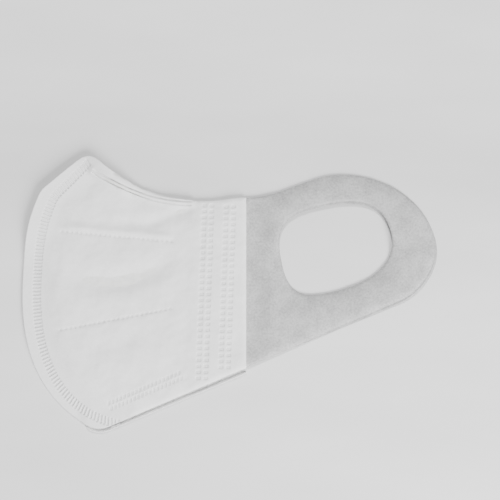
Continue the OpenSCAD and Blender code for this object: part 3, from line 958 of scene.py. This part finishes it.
def make_nose_weld(side):
    lines = []
    for loop in nose_lines:
        points, triangles, _ = triangulated(spaced(grown(loop, LINE_REACH), STRIP_STEP), [], [], [])
        top = cover_top(points, side) - LINE_DEPTH
        lines.append((points, triangles, top, top - PLY_GAP - LINE_FLOOR))
    half_sheet(side, "nose_film", "nose_weld", WELD, join(*lines))


def make_wire(side):
    """The coated nose wire: a plastic sheath round a steel core."""
    middle = (LINING_TOP + FILTER_TOP) / 2
    core_height = core_high[2] - core_low[2]
    points, triangles, _ = plain_sheet([sheath], WIRE_STEP)
    tall = FILTER_TOP - LINING_TOP
    sheet = (points, triangles, even(points, middle + tall / 2), even(points, tall))
    half_sheet(side, "wire_sheath", "nose_sheath", SHEATH, sheet)
    points, triangles, _ = plain_sheet([core], WIRE_STEP)
    sheet = (points, triangles, even(points, middle + core_height / 2), even(points, core_height))
    half_sheet(side, "wire_core", "nose_core", STEEL, sheet)


def make_seam_ridge():
    """The fused ridge between the halves, midway in the fold."""
    points, triangles, _ = plain_sheet(strips["seam"], STRIP_STEP)
    thick = even(points, 2 * PLY_GAP)
    shift = bed(points, "left")
    piece = new_sheet("seam_ridge", points, even(points, FOLD_Z), triangles, shift, thick / 2, thick, WELD)
    fold_between_halves(piece)
    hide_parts("seam_core")


# Ear loops
DROOP_START, DROOP_RUN = 0.3, 16  # from here and over this length the free loop comes down to what it lies on
LYING = {"left": 2 * EAR_SKIN + 0.08, "right": EAR_SKIN + 0.03}  # height of its upper face there
LOOSE = {"left": 1.0, "right": 0.15}  # how freely each loop bows and waves
UNDER_PANEL = 0.5  # the tab's height is taken this far inside the panel's side edge
RIDGE = (0.3, 11, 3.5, 6)  # fold beside the panel: height, place, half width and run in
ARCH_RUN, ARCH_RIM_RUN = 11, 14  # the bow rises over this width from the outline, and from the hole
LIFT_RUN = 8  # width of the lifted outer edge
WAVE, WAVE_STRETCH = 0.12, 0.8  # height of the loop's waves, and their closeness against the cover's
WAVE_START, WAVE_RUN = 1, 16  # bow and waves start this far outside the panel, over this length
ABOVE_RUN = 12  # the loop's upper side passes into its lower side over this width
FOLD_START = 0.2  # it starts this far outside that edge
FOLD_STEP, FOLD_ROW_STEP = 0.34, 1.2  # spacing of the mesh in the fold, across and along
FOLD_BEFORE, FOLD_AFTER = 3, 12  # rows of it before and from the start of the fold
EAR_STEP = 1.3  # spacing of the mesh elsewhere
EAR_OFF_EDGE = 0.8  # room left between the mesh and the sheet's edges
FOLD_OFF_EDGE = 0.7  # and in the fold
EDGE_THIN, EDGE_THIN_RUN = 0.5, 0.7  # the sheet thins to this share at its edges, over this width
EDGE_DROP, EDGE_DROP_RUN = 0.05, 0.5  # and its upper face drops by this much, over this width


def ear_outline(side):
    """Outline of a whole ear sheet, from its free loop to the tab under the panel, and its hole."""
    loop, hole = face_loops([f"{side}_ear_loop"], False)
    held = face_loops([f"{side}_ear_tab"], False)[0]
    left = loop[:, 0].min()
    corners = np.flatnonzero(loop[:, 0] < left + ON_EDGE)
    foot = int(corners[loop[corners, 1].argmin()])
    free = np.roll(loop, -foot, axis=0)
    right = np.flatnonzero(held[:, 0] > held[:, 0].max() - ON_EDGE)
    head = int(right[held[right, 1].argmax()])
    return np.concatenate([free, np.roll(held, -head, axis=0)]), hole


def bowed(run):
    """From 0 at an edge to 1 at the top of a bow."""
    return 1 - (1 - np.clip(run, 0, 1)) ** 2


def ear_height(points, side, off_rim, off_outline, above):
    """Height of an ear sheet's upper face, bowed up a little between its cut edges."""
    x, y = points.T
    under_panel = np.stack([np.minimum(x, side_x - UNDER_PANEL), y], 1)
    tab_top = lining_low[2] - PLY_GAP
    if side == "right":
        tab_top = box_mm("right_lining")[1][2] + EAR_SKIN + PLY_GAP
    tab_top = tab_top + bed(under_panel, side)
    out = x - side_x
    down = smooth((out - DROOP_START) / DROOP_RUN)
    height, place, width, run_in = RIDGE
    fold = height * bell((out - place) / width) * smooth(out / run_in)
    low_side = 1 - above
    arch = EAR_ARCH * bowed(off_outline / ARCH_RUN) * (above + low_side * bowed(off_rim / ARCH_RIM_RUN))
    lift = EAR_LIFT * low_side * (1 - smooth(off_outline / LIFT_RUN)) * (off_outline < off_rim)
    wave = WAVE * (1 + ripple(points * WAVE_STRETCH)) + fold + arch + lift
    free = LOOSE[side] * smooth((out - WAVE_START) / WAVE_RUN)
    return tab_top + (LYING[side] - tab_top) * down + wave * free


def make_ear(side):
    outline, hole = ear_outline(side)
    ring, rim = spaced(outline, EDGE_STEP), spaced(hole, EDGE_STEP)
    fold_x = side_x + FOLD_START
    rows = np.arange(outline[:, 1].min(), outline[:, 1].max(), FOLD_ROW_STEP)
    columns = [fold_x + i * FOLD_STEP for i in range(-FOLD_BEFORE, FOLD_AFTER)]
    turn = np.concatenate([np.stack([even(rows, x), rows], 1) for x in columns])
    turn = turn[inside(turn, grown(outline, -FOLD_OFF_EDGE))]
    body = lattice(ring, EAR_STEP, EAR_OFF_EDGE)
    before = body[:, 0] < fold_x - (FOLD_BEFORE + 1) * FOLD_STEP
    body = body[before | (body[:, 0] > fold_x + FOLD_AFTER * FOLD_STEP)]
    filler = off_rings(np.concatenate([body, turn]), [rim], EAR_OFF_EDGE)
    points, triangles, _ = triangulated(ring, [rim], [], filler)
    off_rim, off_outline = distance(points, hole, True), distance(points, outline, True)
    edge = np.minimum(off_rim, off_outline)
    above = smooth((points[:, 1] - hole[:, 1].mean()) / ABOVE_RUN + 0.5)
    thickness = EAR_SKIN * (EDGE_THIN + (1 - EDGE_THIN) * smooth(edge / EDGE_THIN_RUN))
    drop = EDGE_DROP * (1 - smooth(edge / EDGE_DROP_RUN))
    z = ear_height(points, side, off_rim, off_outline, above) - drop
    flat = even(points, 0)
    piece = new_sheet(f"{side}_ear_sheet", points, z, triangles, flat, flat, thickness, EAR)
    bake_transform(piece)
    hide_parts(f"{side}_ear_tab", f"{side}_ear_loop")


for side in SIDES:
    for make, under in ((make_cover, "filter_web"), (make_filter, "lining"), (make_lining, "ear_tab")):
        ply = make(side)
    for kind in KINDS:
        make_weld(side, kind)
    make_nose_weld(side)
    make_wire(side)
    make_ear(side)
make_seam_ridge()


# Studio, in metres
FLOOR_REACH = 3
CLOUD_RATE = (7, 26, 1)  # the floor's clouds are longer across than away from the camera
SHADE_BAND_AT, SHADE_BAND_WIDTH, SHADE_BAND_DARK = 0.055, 0.038, 0.2  # painted shade: a darker band on the floor behind the mask
WORLD_LIGHT = 0.4
CAMERA_AIM = (0.009461, 0.01973, 0)
CAMERA_AWAY = 0.40333
CAMERA_ELEVATION = 85
CAMERA_LENS, CAMERA_SENSOR = 60, 36  # in millimetres


def make_floor():
    """A wide sheet of uneven white paper, with painted shade in a soft band behind the mask."""
    material, tree, shader = new_finish("floor_paper")
    place = add(tree, "ShaderNodeTexCoord").outputs["Object"]
    cloud = noise(tree, vector(tree, "MULTIPLY", place, _1=CLOUD_RATE), Scale=1.0, Detail=3.0)
    depth = add(tree, "ShaderNodeSeparateXYZ", Vector=place).outputs["Y"]
    off = calc(tree, "DIVIDE", calc(tree, "SUBTRACT", depth, SHADE_BAND_AT), SHADE_BAND_WIDTH)
    # painted shade: a soft dark band across the floor behind the mask, taken off the paper's clouds
    painted_shade = calc(tree, "EXPONENT", times(tree, times(tree, off, off), -1.0))
    share = calc(tree, "SUBTRACT", mapped(tree, cloud, 0, 1, 0.35, 0.83), times(tree, painted_shade, SHADE_BAND_DARK))
    feed(tree, shader, Base_Color=tint(tree, share, grey(0.5), grey(0.9)), Roughness=0.9)
    mesh = bpy.data.meshes.new("floor")
    corners = [(x * FLOOR_REACH, y * FLOOR_REACH, 0) for x, y in ((-1, -1), (1, -1), (1, 1), (-1, 1))]
    mesh.from_pydata(corners, [], [(0, 1, 2, 3)])
    mesh.materials.append(material)
    floor = bpy.data.objects.new("floor", mesh)
    bpy.context.scene.collection.objects.link(floor)


def make_light(name, place, size, power):
    """A soft square lamp that faces the middle of the mask."""
    lamp = bpy.data.lights.new(name, "AREA")
    lamp.size = size
    lamp.energy = power
    light = bpy.data.objects.new(name, lamp)
    light.location = place
    light.rotation_euler = (-Vector(place)).to_track_quat("-Z", "Y").to_euler()
    bpy.context.scene.collection.objects.link(light)


def make_camera():
    """Nearly straight down, a little from the foot of the photograph."""
    lift = math.radians(CAMERA_ELEVATION)
    data = bpy.data.cameras.new("camera")
    data.lens = CAMERA_LENS
    data.sensor_width = CAMERA_SENSOR
    camera = bpy.data.objects.new("camera", data)
    back = Vector((0, -math.cos(lift), math.sin(lift)))
    camera.location = Vector(CAMERA_AIM) + CAMERA_AWAY * back
    camera.rotation_euler = (-back).to_track_quat("-Z", "Y").to_euler()
    bpy.context.scene.collection.objects.link(camera)
    bpy.context.scene.camera = camera


def make_world():
    """An even white surround."""
    world = bpy.data.worlds.new("studio")
    world.use_nodes = True
    sky = world.node_tree.nodes["Background"]
    sky.inputs["Color"].default_value = (1, 1, 1, 1)
    sky.inputs["Strength"].default_value = WORLD_LIGHT
    bpy.context.scene.world = world


make_floor()
make_light("low_window", (0.42, -0.65, 0.47), 0.5, 21.9)
make_light("ceiling", (-0.1, 0.75, 1.05), 0.12, 16)
make_world()
make_camera()
